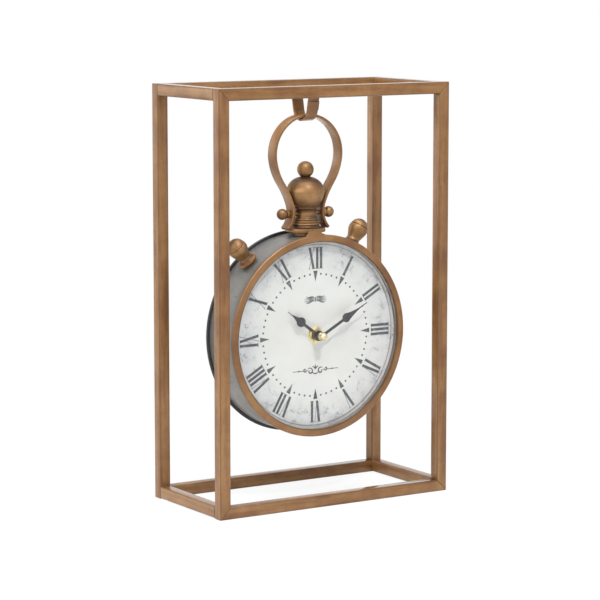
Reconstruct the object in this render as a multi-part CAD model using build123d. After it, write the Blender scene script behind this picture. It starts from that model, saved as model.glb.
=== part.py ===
from build123d import *
import math
import os

os.makedirs("parts", exist_ok=True)

# Table clock: a round cased clock hung by a strap bail inside an open tube frame.
# Millimetres. +Z is up, the dial faces -Y, the origin is the centre of the footprint.

# Frame of square tube
W = 225.0
D = 110.0
H = 350.0
TUBE = 10.0
TUBE_WALL = 1.0
TUBE_CORNER = 1.3
TIE_LIFT = 0.4

# Hanger under the top of the frame
HANG_Y = -6.0
BAR_W = 12.0
BAR_H = 4.0
STRAP_W = 10.6
STRAP_T = 1.5
HOOK_OUTER_R = 11.5
HOOK_TOP_HALF = 14.0
HOOK_CENTRE_Z = H - TUBE - 10.3
LAP_T = 1.1
LAP_LOW_Z = HOOK_CENTRE_Z + 1.4

# Bail: a round top, then arcs on each side as (radius, turn in degrees), inward turns positive
BAIL_W = 11.5
BAIL_T = 2.3
BAIL_R = 32.4
BAIL_CENTRE_Z = HOOK_CENTRE_Z - 38.8
BAIL_ARC_END = -8.3
BAIL_STRAIGHT = 3.4
BAIL_TURNS = [(46.8, 25.0), (0, 0), (68.2, -14.3), (20.2, -63.3)]
PIN_Z = BAIL_CENTRE_Z - 49.9
PIN_R = 1.9
PIN_HOLE_R = 1.97
PIN_DEEP = 5.0
PIN_BALL_X = 22.9
PIN_BALL_R = 4.7

# Round case
BAND_R = 83.5
CROWN_BASE_Z = PIN_Z - 15.6
ZC = CROWN_BASE_Z - BAND_R - 2.4
BAND_T = 1.2
BAND_FRONT = -26.6
BAND_BACK = 12.0
COVER_R = BAND_R + 2.5
COVER_T = 1.5
RIM_LAP = 0.9
ACCESS = 64.0
BEZEL_R = BAND_R + 1.7
BEZEL_HOLE_R = BAND_R - 5.3
BEZEL_FRONT = -29.0
TAB_ANGLE = -3.2
LENS_T = 1.6
LENS_R = BEZEL_HOLE_R - 0.4
LENS_FLANGE_R = BAND_R - 1.5
LENS_RISE = 13.6
DIAL_Y = BAND_FRONT + LENS_T + 3.5
DIAL_T = 1.0
RING_IN_R = BAND_R - 4.9

# Crown, pushers
CROWN_H = 46.2
CROWN_TOP_Z = CROWN_BASE_Z + CROWN_H
BALL_R = 7.0
BALL_Z = CROWN_TOP_Z + 6.0
PUSHER_ANGLES = {"left": -41.4, "right": 32.0}
PUSHER_H = 25.8

# Quartz movement and hands
MOVE_HALF = 28.0
MOVE_FRONT = DIAL_Y + DIAL_T
MOVE_BACK = MOVE_FRONT + 16.8
BATTERY_Z = ZC - 17.5
BATTERY_Y = MOVE_FRONT + 9.6
BATTERY_R = 7.1
BUSH_R = 3.9
BUSH_FRONT = DIAL_Y - 3.3
PIPE_R = 2.5
PIPE_BACK = MOVE_FRONT + 8.3
ARBOR_R = 1.5
RUN = 0.06
HOUR_ANGLE = -53.5
MINUTE_ANGLE = 61.0
HOUR_Y = DIAL_Y - 5.7
MINUTE_Y = DIAL_Y - 9.7
CAP_FRONT = MINUTE_Y - 5.6
HAND_T = 0.8
KNOB_Z = ZC + 14.5


def save(shape, name):
    solids = shape.solids()
    if len(solids) == 1:
        shape = solids[0]
    shape.label = name
    export_step(shape, "parts/" + name + ".step")


def box(x0, x1, y0, y1, z0, z1):
    size = Box(x1 - x0, y1 - y0, z1 - z0)
    return Pos((x0 + x1) / 2, (y0 + y1) / 2, (z0 + z1) / 2) * size


def rod_y(r, y0, y1, x=0.0, z=ZC):
    return Pos(x, (y0 + y1) / 2, z) * Rot(90, 0, 0) * Cylinder(r, y1 - y0)


def rod_x(r, x0, x1, y, z):
    return Pos((x0 + x1) / 2, y, z) * Rot(0, 90, 0) * Cylinder(r, x1 - x0)


def rod_z(r, z0, z1, x, y):
    return Pos(x, y, (z0 + z1) / 2) * Cylinder(r, z1 - z0)


def ring_y(r_out, r_in, y0, y1):
    return rod_y(r_out, y0, y1) - rod_y(r_in, y0 - 1, y1 + 1)


def tube(length):
    outer = RectangleRounded(TUBE, TUBE, TUBE_CORNER)
    inner = Rectangle(TUBE - 2 * TUBE_WALL, TUBE - 2 * TUBE_WALL)
    return extrude(outer - inner, length / 2, both=True)


def prism_xz(points, y, depth):
    face = make_face(Polyline(*points, close=True))
    return Pos(0, y, 0) * extrude(Plane.XZ * face, depth / 2, both=True)


# A square ring of tube has mitred corners, so each tube is cut by the frame's diagonals
def frame_ring(y, where):
    x = W / 2
    across = Pos(0, y, 0) * Rot(0, 90, 0) * tube(W)
    upright = Pos(0, y, H / 2) * tube(H)
    post = prism_xz([(-x, 0), (-x + TUBE, TUBE), (-x + TUBE, H - TUBE), (-x, H)], y, TUBE)
    rail = prism_xz([(-x, 0), (x, 0), (x - TUBE, TUBE), (-x + TUBE, TUBE)], y, TUBE)
    left = (Pos(-x + TUBE / 2, 0, 0) * upright) & post
    low = (Pos(0, 0, TUBE / 2) * across) & rail
    save(left, where + "_left_post")
    save(mirror(left, Plane.YZ), where + "_right_post")
    save(low, where + "_bottom_rail")
    save(mirror(low, Plane.XY.offset(H / 2)), where + "_top_rail")


frame_ring(-D / 2 + TUBE / 2, "front")
frame_ring(D / 2 - TUBE / 2, "rear")

tie = Rot(90, 0, 0) * tube(D - 2 * TUBE)
for side, sign in (("left", -1), ("right", 1)):
    x = sign * (W / 2 - TUBE / 2)
    save(Pos(x, 0, TUBE / 2 + TIE_LIFT) * tie, side + "_bottom_tie")
    save(Pos(x, 0, H - TUBE / 2) * tie, side + "_top_tie")

# Bar from front rail to rear rail, and the closed strap loop welded under it
bar_low = H - TUBE
save(box(-BAR_W / 2, BAR_W / 2, -D / 2 + TUBE, D / 2 - TUBE, bar_low, bar_low + BAR_H), "hanger_bar")

rise = bar_low - HOOK_CENTRE_Z
reach = math.hypot(HOOK_TOP_HALF, rise)
tangent = math.atan2(rise, HOOK_TOP_HALF) - math.acos(HOOK_OUTER_R / reach)
tx = HOOK_OUTER_R * math.cos(tangent)
tz = HOOK_OUTER_R * math.sin(tangent)
loop_edges = [
    Line((-HOOK_TOP_HALF, rise), (HOOK_TOP_HALF, rise)),
    Line((HOOK_TOP_HALF, rise), (tx, tz)),
    ThreePointArc((tx, tz), (0, -HOOK_OUTER_R), (-tx, tz)),
    Line((-tx, tz), (-HOOK_TOP_HALF, rise)),
]
loop_face = make_face(Curve() + loop_edges)
loop_face = fillet(loop_face.vertices().group_by(Axis.Y)[-1], 2.4)
hollow = offset(loop_face, -STRAP_T)
lap_zone = Pos(-12, (LAP_LOW_Z + bar_low) / 2 - HOOK_CENTRE_Z - 0.4) * Rectangle(16, bar_low - LAP_LOW_Z - 0.8)
lap_face = (offset(loop_face, LAP_T) - loop_face) & lap_zone
strap_face = loop_face - hollow
strap_plane = Plane(origin=(0, HANG_Y, HOOK_CENTRE_Z), x_dir=(0, 1, 0), z_dir=(1, 0, 0))
strap = extrude(strap_plane * strap_face, STRAP_W / 2, both=True)
strap += extrude(strap_plane * lap_face, STRAP_W / 2 - 0.2, both=True)
save(strap, "hanger_strap")

# Bail: flat strap bent to a teardrop, round over the top so that it can rock in the hanger
end_a = math.radians(BAIL_ARC_END)


def arc_point(r, a):
    return (r * math.cos(a), BAIL_CENTRE_Z + r * math.sin(a))


# One face of the strap, at a distance outward from its middle, from the round top to the flared foot
def side_edges(out):
    edges = []
    point = Vector(*arc_point(BAIL_R + out, end_a))
    heading = Vector(math.sin(end_a), -math.cos(end_a))
    for radius, turn in BAIL_TURNS:
        if turn == 0:
            edge = Line(point, point + heading * BAIL_STRAIGHT)
        else:
            side = math.copysign(1.0, turn)
            edge = JernArc(point, heading, radius + side * out, -turn)
        edges.append(edge)
        point = edge @ 1
        heading = edge % 1
    return edges


outer_r = BAIL_R + BAIL_T / 2
inner_r = BAIL_R - BAIL_T / 2
top_outer = (0.0, BAIL_CENTRE_Z + outer_r)
top_inner = (0.0, BAIL_CENTRE_Z + inner_r)
mid_a = (math.pi / 2 + end_a) / 2
outer_side = side_edges(BAIL_T / 2)
inner_side = side_edges(-BAIL_T / 2)
half_edges = [
    ThreePointArc(top_outer, arc_point(outer_r, mid_a), arc_point(outer_r, end_a)),
    *outer_side,
    Line(outer_side[-1] @ 1, inner_side[-1] @ 1),
    *inner_side,
    ThreePointArc(arc_point(inner_r, end_a), arc_point(inner_r, mid_a), top_inner),
    Line(top_inner, top_outer),
]
half_bail = make_face(Curve() + half_edges)
half_bail = Pos(0, HANG_Y, 0) * extrude(Plane.XZ * half_bail, BAIL_W / 2, both=True)
bail = half_bail + mirror(half_bail, Plane.YZ)
bail -= rod_x(PIN_HOLE_R, -30, 30, HANG_Y, PIN_Z)
save(bail, "bail_strap")

# Case band with holes for the crown stud and the pusher studs
CROWN_STUD_R = 2.5
PUSHER_STUD_R = 2.0


def radial(shape, angle):
    return Pos(0, HANG_Y, ZC) * Rot(0, angle, 0) * shape


band = ring_y(BAND_R, BAND_R - BAND_T, BAND_FRONT, BAND_BACK)
band -= radial(rod_z(CROWN_STUD_R, BAND_R - 9, BAND_R + 9, 0, 0), 0)
for angle in PUSHER_ANGLES.values():
    band -= radial(rod_z(PUSHER_STUD_R, BAND_R - 9, BAND_R + 9, 0, 0), angle)
save(band, "case_band")

# Rear cover: a plate with a rolled rim around the band, and an opening to the movement
plate = rod_y(COVER_R - 1.0, BAND_BACK, BAND_BACK + COVER_T)
rim = ring_y(COVER_R, BAND_R, BAND_BACK - RIM_LAP, BAND_BACK + COVER_T)
rim = chamfer(rim.edges().filter_by(GeomType.CIRCLE).filter_by(lambda e: e.radius > COVER_R - 0.1), 0.7)
hatch = extrude(RectangleRounded(ACCESS, ACCESS, 7), 10, both=True)
cover = (plate + rim) - Pos(0, BAND_BACK, ZC) * Rot(90, 0, 0) * hatch
save(cover, "rear_cover")

# Bezel: a flat ring with a small trapezoid tab that laps the crown's foot
bezel = rod_y(BEZEL_R, BEZEL_FRONT, BAND_FRONT)
bezel = chamfer(bezel.edges().filter_by(GeomType.CIRCLE).sort_by(Axis.Y)[0:1], 0.7)
bezel -= rod_y(BEZEL_HOLE_R, BEZEL_FRONT - 1, BAND_FRONT + 1)
tab_low = BEZEL_R - 3.2
tab_bend = BEZEL_R - 0.6
tab_top = BEZEL_R + 4.0
tab_half = [(8.4, tab_low), (8.4, tab_bend), (4.6, tab_top)]
tab = prism_xz(tab_half + [(-x, z) for x, z in reversed(tab_half)], 0, 2.0)
tab = Pos(0, BEZEL_FRONT + 1.2, ZC) * Rot(0, TAB_ANGLE, 0) * tab
tab -= rod_y(BEZEL_HOLE_R + 2, BEZEL_FRONT - 1, BAND_FRONT + 1)
bezel += tab
save(bezel, "bezel")

# Domed lens with a flat flange behind the bezel
y0 = BAND_FRONT
dome_r = (LENS_R ** 2 + LENS_RISE ** 2) / (2 * LENS_RISE)


def dome_mid(y_edge, r_edge, rise):
    r = (r_edge ** 2 + rise ** 2) / (2 * rise)
    x = r_edge * 0.5
    return (x, y_edge - rise + r - math.sqrt(r * r - x * x))


lens_in = LENS_R - 1.0
lens_edges = [
    ThreePointArc((0, y0 - LENS_RISE), dome_mid(y0, LENS_R, LENS_RISE), (LENS_R, y0)),
    Line((LENS_R, y0), (LENS_FLANGE_R, y0)),
    Line((LENS_FLANGE_R, y0), (LENS_FLANGE_R, y0 + LENS_T)),
    Line((LENS_FLANGE_R, y0 + LENS_T), (lens_in, y0 + LENS_T)),
    ThreePointArc((lens_in, y0 + LENS_T), dome_mid(y0 + LENS_T, lens_in, LENS_RISE), (0, y0 + LENS_T - LENS_RISE)),
    Line((0, y0 + LENS_T - LENS_RISE), (0, y0 - LENS_RISE)),
]
lens = revolve(make_face(Curve() + lens_edges), Axis.Y)
save(Pos(0, 0, ZC) * lens, "glass_lens")

inner_ring = ring_y(BAND_R - BAND_T, RING_IN_R, BAND_FRONT + LENS_T, DIAL_Y)
save(inner_ring, "inner_ring")

dial = ring_y(BAND_R - BAND_T, BUSH_R, DIAL_Y, DIAL_Y + DIAL_T)
save(dial, "dial_plate")
save(ring_y(BAND_R - BAND_T, RING_IN_R, DIAL_Y + DIAL_T, DIAL_Y + DIAL_T + 3), "dial_retainer")

# Crown: turned pillar with a saddle foot, a stud through the band and a ball on top
pillar_edges = [
    Line((0, 0), (16.2, 0)),
    Line((16.2, 0), (16.8, 0.6)),
    Line((16.8, 0.6), (16.8, 2.8)),
    Line((16.8, 2.8), (16.1, 3.5)),
    ThreePointArc((16.1, 3.5), (12.9, 4.3), (11.5, 5.8)),
    ThreePointArc((11.5, 5.8), (12.2, 7.4), (10.6, 9.0)),
    ThreePointArc((10.6, 9.0), (11.4, 10.2), (10.4, 11.4)),
    ThreePointArc((10.4, 11.4), (9.5, 15.4), (10.1, 19.7)),
    Line((10.1, 19.7), (10.8, 20.7)),
    ThreePointArc((10.8, 20.7), (14.2, 26.6), (16.2, 34.0)),
    ThreePointArc((16.2, 34.0), (12.7, 41.7), (3.7, CROWN_H)),
    Line((3.7, CROWN_H), (0, CROWN_H)),
    Line((0, CROWN_H), (0, 0)),
]
pillar = revolve(Plane.XZ * make_face(Curve() + pillar_edges), Axis.Z)
pillar = Pos(0, HANG_Y, CROWN_BASE_Z) * pillar
foot = rod_z(9.5, CROWN_BASE_Z - 5, CROWN_BASE_Z, 0, HANG_Y) - rod_y(BAND_R, -40, 30)
pillar += foot
pillar += rod_z(CROWN_STUD_R, CROWN_BASE_Z - 8, CROWN_BASE_Z - 1, 0, HANG_Y)
pillar -= rod_x(PIN_R, -12, -PIN_DEEP, HANG_Y, PIN_Z)
pillar -= rod_x(PIN_R, PIN_DEEP, 12, HANG_Y, PIN_Z)
save(pillar, "crown_pillar")
ball = Pos(0, HANG_Y, BALL_Z) * Sphere(BALL_R)
ball &= rod_z(9, CROWN_TOP_Z, BALL_Z + 9, 0, HANG_Y)
save(ball, "crown_ball")


def hex_nut(across, thick, hole_r):
    blank = extrude(RegularPolygon(across / 2, 6, major_radius=False), thick)
    return blank - Cylinder(hole_r, 3 * thick)


INSIDE_R = BAND_R - BAND_T
save(radial(Pos(0, 0, INSIDE_R - 3.2) * hex_nut(8.0, 3.0, CROWN_STUD_R), 0), "crown_nut")

for side, sign in (("left", -1), ("right", 1)):
    pin = rod_x(PIN_R, PIN_DEEP, PIN_BALL_X, HANG_Y, PIN_Z)
    pin += rod_x(3.3, 16.9, 19.6, HANG_Y, PIN_Z)
    pin += Pos(PIN_BALL_X, HANG_Y, PIN_Z) * Sphere(PIN_BALL_R)
    if sign < 0:
        pin = mirror(pin, Plane.YZ)
    save(pin, "bail_pin_" + side)

# Pushers: turned buttons screwed to the band on radial studs
pusher_edges = [
    ThreePointArc((0, PUSHER_H), (5.4, PUSHER_H - 2.1), (7.7, 19.6)),
    Line((7.7, 19.6), (7.2, 19.2)),
    Line((7.2, 19.2), (8.0, 18.7)),
    ThreePointArc((8.0, 18.7), (8.3, 16.3), (7.8, 13.7)),
    Line((7.8, 13.7), (5.7, 8.1)),
    ThreePointArc((5.7, 8.1), (6.1, 5.4), (8.7, 3.8)),
    Line((8.7, 3.8), (8.9, 3.0)),
    Line((8.9, 3.0), (8.5, 2.6)),
    Line((8.5, 2.6), (6.6, 2.5)),
    Line((6.6, 2.5), (6.6, -1.5)),
    Line((6.6, -1.5), (0, -1.5)),
    Line((0, -1.5), (0, PUSHER_H)),
]
pusher = Pos(0, 0, BAND_R) * revolve(Plane.XZ * make_face(Curve() + pusher_edges), Axis.Z)
pusher -= Rot(90, 0, 0) * Cylinder(BAND_R, 60)
pusher += rod_z(PUSHER_STUD_R, BAND_R - 5.5, BAND_R + 1, 0, 0)
for side, angle in PUSHER_ANGLES.items():
    save(radial(pusher, angle), side + "_pusher")
    save(radial(Pos(0, 0, INSIDE_R - 2.6) * hex_nut(7.0, 2.4, PUSHER_STUD_R), angle), side + "_pusher_nut")

# Quartz movement: a sealed box with a bay for one AA cell, open to the rear
move = box(-MOVE_HALF, MOVE_HALF, MOVE_FRONT, MOVE_BACK, ZC - MOVE_HALF, ZC + MOVE_HALF)
move = fillet(move.edges().filter_by(Axis.Y), 3.0)
move -= box(-26.5, 26.5, BATTERY_Y - 7.4, MOVE_BACK + 1, BATTERY_Z - 7.6, BATTERY_Z + 7.6)
move -= rod_y(BUSH_R, MOVE_FRONT - 1, MOVE_FRONT + 3)
move -= rod_y(PIPE_R + RUN, MOVE_FRONT, MOVE_FRONT + 9)
move -= rod_y(1.5 + RUN, MOVE_BACK - 5.3, MOVE_BACK + 1, 0, KNOB_Z)
save(move, "movement_case")

cell = rod_x(BATTERY_R, -24.6, 24.6, BATTERY_Y, BATTERY_Z)
cell = chamfer(cell.edges().filter_by(GeomType.CIRCLE), 0.5)
cell += rod_x(2.7, 24.6, 25.9, BATTERY_Y, BATTERY_Z)
save(cell, "battery")
leaf_y = (BATTERY_Y - 4.6, BATTERY_Y + 5.4)
save(box(25.9, 26.5, *leaf_y, BATTERY_Z - 4.5, BATTERY_Z + 4.5), "contact_positive")
leaf = box(-26.5, -26.0, *leaf_y, BATTERY_Z - 4.5, BATTERY_Z + 4.5)
leaf += Pos(-25.3, BATTERY_Y, BATTERY_Z) * Rot(0, 90, 0) * Cone(3.8, 2.2, 1.4)
save(leaf, "contact_negative")

bush = rod_y(BUSH_R, BUSH_FRONT, MOVE_FRONT + 3) - rod_y(PIPE_R + RUN, BUSH_FRONT - 1, MOVE_FRONT + 4)
save(bush, "threaded_bush")
save(ring_y(7.4, BUSH_R, DIAL_Y - 0.6, DIAL_Y), "dial_washer")
nut = Pos(0, DIAL_Y - 0.6, ZC) * Rot(90, 0, 0) * hex_nut(10.5, 1.9, BUSH_R)
save(nut, "dial_nut")

# Hands are flat blades: a slim stem, a pear and a long point, cut in the XZ plane


def blade(stem_w, pear_r, pear_at, tip, hub_r):
    stem = Pos(0, pear_at / 2) * Rectangle(stem_w, pear_at)
    pear = Pos(0, pear_at) * Circle(pear_r)
    span = tip - pear_at
    point = make_face(Curve() + [
        Spline([(-pear_r * 0.97, pear_at), (-pear_r * 0.42, pear_at + span * 0.32), (-0.25, tip)],
               tangents=[(-0.1, 1), (0.12, 1)]),
        Line((-0.25, tip), (0.25, tip)),
        Spline([(0.25, tip), (pear_r * 0.42, pear_at + span * 0.32), (pear_r * 0.97, pear_at)],
               tangents=[(0.12, -1), (-0.1, -1)]),
        Line((pear_r * 0.97, pear_at), (-pear_r * 0.97, pear_at)),
    ])
    return stem + pear + point + Circle(hub_r)


def hand(face, y, angle):
    solid = extrude(Plane.XZ * face, HAND_T / 2, both=True)
    return Pos(0, y, ZC) * Rot(0, angle, 0) * solid


hour = hand(blade(1.9, 4.1, 21.5, 37.6, 4.4), HOUR_Y + HAND_T / 2, HOUR_ANGLE)
hour += rod_y(PIPE_R, HOUR_Y, PIPE_BACK)
hour -= rod_y(ARBOR_R + RUN, HOUR_Y - 2, PIPE_BACK + 1)
save(hour, "hour_hand")
minute = hand(blade(1.7, 3.9, 28.6, 52.3, 3.8), MINUTE_Y + HAND_T / 2, MINUTE_ANGLE)
minute += rod_y(3.2, MINUTE_Y + HAND_T, HOUR_Y - 1.4)
minute += rod_y(ARBOR_R, MINUTE_Y - 3.4, PIPE_BACK + 0.2)
save(minute, "minute_hand")
cap = rod_y(3.2, CAP_FRONT, MINUTE_Y)
cap = chamfer(cap.edges().filter_by(GeomType.CIRCLE).sort_by(Axis.Y)[0:1], 1.1)
cap -= rod_y(ARBOR_R, MINUTE_Y - 3.4, MINUTE_Y + 1)
save(cap, "minute_cap")

# Setting knob at the rear of the movement
knob = rod_y(6.0, MOVE_BACK + 0.4, MOVE_BACK + 4.4, 0, KNOB_Z)
for i in range(12):
    a = math.radians(i * 30)
    knob -= rod_y(0.5, MOVE_BACK, MOVE_BACK + 6, 6.1 * math.cos(a), KNOB_Z + 6.1 * math.sin(a))
knob += rod_y(1.5, MOVE_BACK - 4.9, MOVE_BACK + 1, 0, KNOB_Z)
save(knob, "set_knob")
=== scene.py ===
import bpy
import bmesh
import math
from mathutils import Matrix, Vector


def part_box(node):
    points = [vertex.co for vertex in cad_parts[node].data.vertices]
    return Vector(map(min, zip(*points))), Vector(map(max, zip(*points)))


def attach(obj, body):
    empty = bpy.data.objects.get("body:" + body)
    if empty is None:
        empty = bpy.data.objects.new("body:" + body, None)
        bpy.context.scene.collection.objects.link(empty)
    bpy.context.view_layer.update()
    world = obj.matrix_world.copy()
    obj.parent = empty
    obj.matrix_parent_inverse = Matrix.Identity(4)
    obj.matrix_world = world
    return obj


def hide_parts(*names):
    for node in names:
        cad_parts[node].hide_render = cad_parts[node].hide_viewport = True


# Lengths are millimetres in the row frame (+Z up, dial towards -Y) and become metres in piece()
MM = 0.001
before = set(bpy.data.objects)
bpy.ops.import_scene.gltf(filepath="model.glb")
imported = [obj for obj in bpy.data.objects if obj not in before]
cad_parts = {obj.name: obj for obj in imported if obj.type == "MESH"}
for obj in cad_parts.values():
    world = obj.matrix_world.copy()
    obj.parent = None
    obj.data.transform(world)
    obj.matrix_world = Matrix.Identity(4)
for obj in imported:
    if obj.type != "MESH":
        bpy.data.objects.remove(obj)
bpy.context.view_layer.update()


def span(node):
    low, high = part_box(node)
    return [(low[i] / MM, high[i] / MM) for i in range(3)]


def middle(pair):
    return (pair[0] + pair[1]) / 2


# Sizes read from the frame, so that the dressed pieces follow the solids
band_box = span("case_band")
BAND_R = (band_box[0][1] - band_box[0][0]) / 2
ZC = middle(band_box[2])
BAND_FRONT, BAND_BACK = band_box[1]
BAND_T = 1.2
BAND_IN = BAND_R - BAND_T
cover_box = span("rear_cover")
COVER_R = (cover_box[0][1] - cover_box[0][0]) / 2
COVER_FRONT, COVER_BACK = cover_box[1]
BEZEL_R = (span("bezel")[0][1] - span("bezel")[0][0]) / 2
BEZEL_FRONT = span("bezel")[1][0]
bail_box = span("bail_strap")
HANG_Y = middle(bail_box[1])
BAIL_W = bail_box[1][1] - bail_box[1][0]
bar_box = span("hanger_bar")
strap_box = span("hanger_strap")
DIAL_Y = span("dial_plate")[1][0]
CROWN_TOP = span("crown_pillar")[2][1]
CROWN_H = 46.2
CROWN_BASE = CROWN_TOP - CROWN_H
BALL_R = 7.0
BALL_Z = span("crown_ball")[2][1] - BALL_R
PIN_Z = middle(span("bail_pin_left")[2])
HOUR_Y = span("hour_hand")[1][0]
MINUTE_Y = span("minute_cap")[1][1]
CAP_FRONT = span("minute_cap")[1][0]
BUSH_FRONT = span("threaded_bush")[1][0]

BEZEL_HOLE_R = 79.0
RING_IN_R = 79.2
PRINT_T = 0.05
HAND_T = 0.8
BUSH_R = 3.9
HOUR_ANGLE = -53.5
MINUTE_ANGLE = 61.0
PUSHER_ANGLES = {"left": -41.4, "right": 32.0}


# Node material helpers
class Paint:
    def __init__(self, name, metallic=0.0, roughness=0.5):
        self.mat = bpy.data.materials.new(name)
        self.mat.use_nodes = True
        self.tree = self.mat.node_tree
        self.shader = self.tree.nodes["Principled BSDF"]
        self.shader.inputs["Metallic"].default_value = metallic
        self.shader.inputs["Roughness"].default_value = roughness
        self.place = self.node("ShaderNodeTexCoord").outputs["Object"]

    def node(self, kind, **inputs):
        made = self.tree.nodes.new(kind)
        for key, value in inputs.items():
            self.plug(value, made.inputs[key])
        return made

    def plug(self, value, socket):
        if isinstance(value, bpy.types.NodeSocket):
            self.tree.links.new(value, socket)
        else:
            socket.default_value = value

    def set(self, key, value):
        self.plug(value, self.shader.inputs[key])

    def noise(self, scale, detail, rough, stretch=None):
        place = self.place
        if stretch:
            mapping = self.node("ShaderNodeMapping", Vector=self.place, Scale=stretch)
            place = mapping.outputs["Vector"]
        made = self.node("ShaderNodeTexNoise", Vector=place, Scale=scale, Detail=detail)
        made.inputs["Roughness"].default_value = rough
        return made.outputs["Fac"]

    def ramp(self, fac, *stops):
        made = self.node("ShaderNodeValToRGB", Fac=fac)
        elements = made.color_ramp.elements
        while len(elements) < len(stops):
            elements.new(0.5)
        for element, (at, colour) in zip(elements, stops):
            element.position = at
            element.color = colour if len(colour) == 4 else (*colour, 1.0)
        return made.outputs["Color"]

    def fade(self, value, start, end, low=0.0, high=1.0):
        made = self.node("ShaderNodeMapRange", Value=value)
        made.inputs["From Min"].default_value = start
        made.inputs["From Max"].default_value = end
        made.inputs["To Min"].default_value = low
        made.inputs["To Max"].default_value = high
        return made.outputs["Result"]

    def mix(self, fac, a, b):
        made = self.tree.nodes.new("ShaderNodeMix")
        made.data_type = "RGBA"
        self.plug(fac, made.inputs["Factor"])
        self.plug(a if isinstance(a, bpy.types.NodeSocket) else (*a, 1.0), made.inputs["A"])
        self.plug(b if isinstance(b, bpy.types.NodeSocket) else (*b, 1.0), made.inputs["B"])
        return made.outputs["Result"]

    def maths(self, kind, a, b=0.0, clamp=False):
        made = self.tree.nodes.new("ShaderNodeMath")
        made.operation = kind
        made.use_clamp = clamp
        self.plug(a, made.inputs[0])
        self.plug(b, made.inputs[1])
        return made.outputs[0]

    def attribute(self, name):
        made = self.tree.nodes.new("ShaderNodeAttribute")
        made.attribute_name = name
        return made.outputs["Fac"]

    def bump(self, height, distance, strength):
        made = self.node("ShaderNodeBump", Height=height, Distance=distance, Strength=strength)
        self.set("Normal", made.outputs["Normal"])


def grey(value):
    return (value, value, value)


def copper_paint(name, along=None):
    m = Paint(name, metallic=0.2, roughness=0.38)
    cloud = m.noise(30.0, 4.0, 0.6)
    spread = 0.16
    if along is not None:
        spread = 0.09
        grain = tuple(0.07 if i == along else 1.0 for i in range(3))
        cloud = m.maths("MULTIPLY_ADD", m.noise(130.0, 5.0, 0.65, grain), 0.65)
        m.plug(m.maths("MULTIPLY", m.noise(45.0, 4.0, 0.6), 0.35), cloud.node.inputs[2])
    fine = m.noise(520.0, 3.0, 0.6)
    brushed = m.noise(60.0, 4.0, 0.6, (2.0, 2.0, 0.4))
    dark, plain, pale = (0.155, 0.064, 0.019), (0.23, 0.11, 0.034), (0.29, 0.15, 0.053)
    tone = m.ramp(cloud, (0.5 - spread, dark), (0.5, plain), (0.5 + spread, pale))
    streak = m.fade(brushed, 0.42, 0.64, 0.0, 0.3)
    tone = m.mix(streak, tone, (0.2, 0.078, 0.028))
    speck = m.fade(fine, 0.4, 0.3, 0.0, 0.6)
    tone = m.mix(speck, tone, (0.15, 0.07, 0.03))
    # Darker where the groove attribute is set: dark joint lines at the tube seams, and painted
    # shade on the tube corners and the bezel edges
    tone = m.mix(m.fade(m.attribute("groove"), 0.05, 1.0, 0.0, 0.75), tone, (0.06, 0.03, 0.015))
    m.set("Base Color", tone)
    # Smoother at a grazing look, so that level faces shine pale
    facing = m.node("ShaderNodeLayerWeight", Blend=0.5).outputs["Facing"]
    grazing = m.fade(facing, 0.62, 0.86, 1.0, 0.25)
    m.set("Roughness", m.maths("MULTIPLY", m.fade(cloud, 0.3, 0.7, 0.44, 0.32), grazing))
    m.set("Coat Weight", 0.12)
    m.set("Coat Roughness", 0.12)
    m.bump(fine, 0.00006, 0.5)
    return m.mat


def aged_bronze():
    m = Paint("aged_bronze", metallic=0.7, roughness=0.42)
    cloud = m.noise(85.0, 5.0, 0.6)
    fine = m.noise(700.0, 3.0, 0.6)
    dark, plain, pale = (0.185, 0.095, 0.037), (0.265, 0.145, 0.061), (0.35, 0.203, 0.093)
    tone = m.ramp(cloud, (0.3, dark), (0.5, plain), (0.7, pale))
    groove = m.fade(m.attribute("groove"), 0.15, 0.9, 0.0, 0.85)
    tone = m.mix(groove, tone, (0.07, 0.035, 0.02))
    m.set("Base Color", tone)
    m.set("Roughness", m.fade(cloud, 0.3, 0.75, 0.5, 0.4))
    m.bump(fine, 0.00004, 0.5)
    return m.mat


def drum_grey():
    m = Paint("grey_metal", metallic=0.6, roughness=0.45)
    cloud = m.noise(26.0, 5.0, 0.6)
    fine = m.noise(300.0, 3.0, 0.6, (1.0, 0.25, 1.0))
    tone = m.ramp(cloud, (0.3, grey(0.15)), (0.55, (0.205, 0.2, 0.19)), (0.75, (0.26, 0.25, 0.235)))
    tone = m.mix(m.fade(fine, 0.4, 0.3, 0.0, 0.4), tone, grey(0.1))
    # Painted shade: the drum darkens over the 9 mm next to the bezel
    parts = m.node("ShaderNodeSeparateXYZ", Vector=m.place)
    shade = m.fade(parts.outputs["Y"], (BAND_FRONT + 9.0) * MM, BAND_FRONT * MM, 0.0, 0.45)
    tone = m.mix(shade, tone, grey(0.06))
    m.set("Base Color", tone)
    m.set("Roughness", m.fade(cloud, 0.3, 0.7, 0.52, 0.4))
    m.bump(fine, 0.00004, 0.4)
    return m.mat


def black_cover():
    m = Paint("black_cover", metallic=0.1, roughness=0.5)
    fine = m.noise(420.0, 3.0, 0.6)
    m.set("Base Color", m.ramp(fine, (0.3, grey(0.012)), (0.7, grey(0.028))))
    m.bump(fine, 0.00005, 0.5)
    return m.mat


def ring_metal():
    m = Paint("ring_metal", metallic=0.45, roughness=0.4)
    lines = m.noise(240.0, 3.0, 0.5, (0.3, 6.0, 0.3))
    m.set("Base Color", m.ramp(lines, (0.3, (0.15, 0.125, 0.1)), (0.7, (0.27, 0.235, 0.2))))
    return m.mat


def radial_distance(m):
    parts = m.node("ShaderNodeSeparateXYZ", Vector=m.place)
    x = parts.outputs["X"]
    z = m.maths("SUBTRACT", parts.outputs["Z"], ZC * MM)
    square = m.maths("ADD", m.maths("MULTIPLY", x, x), m.maths("MULTIPLY", z, z))
    return m.maths("SQRT", square)


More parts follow.
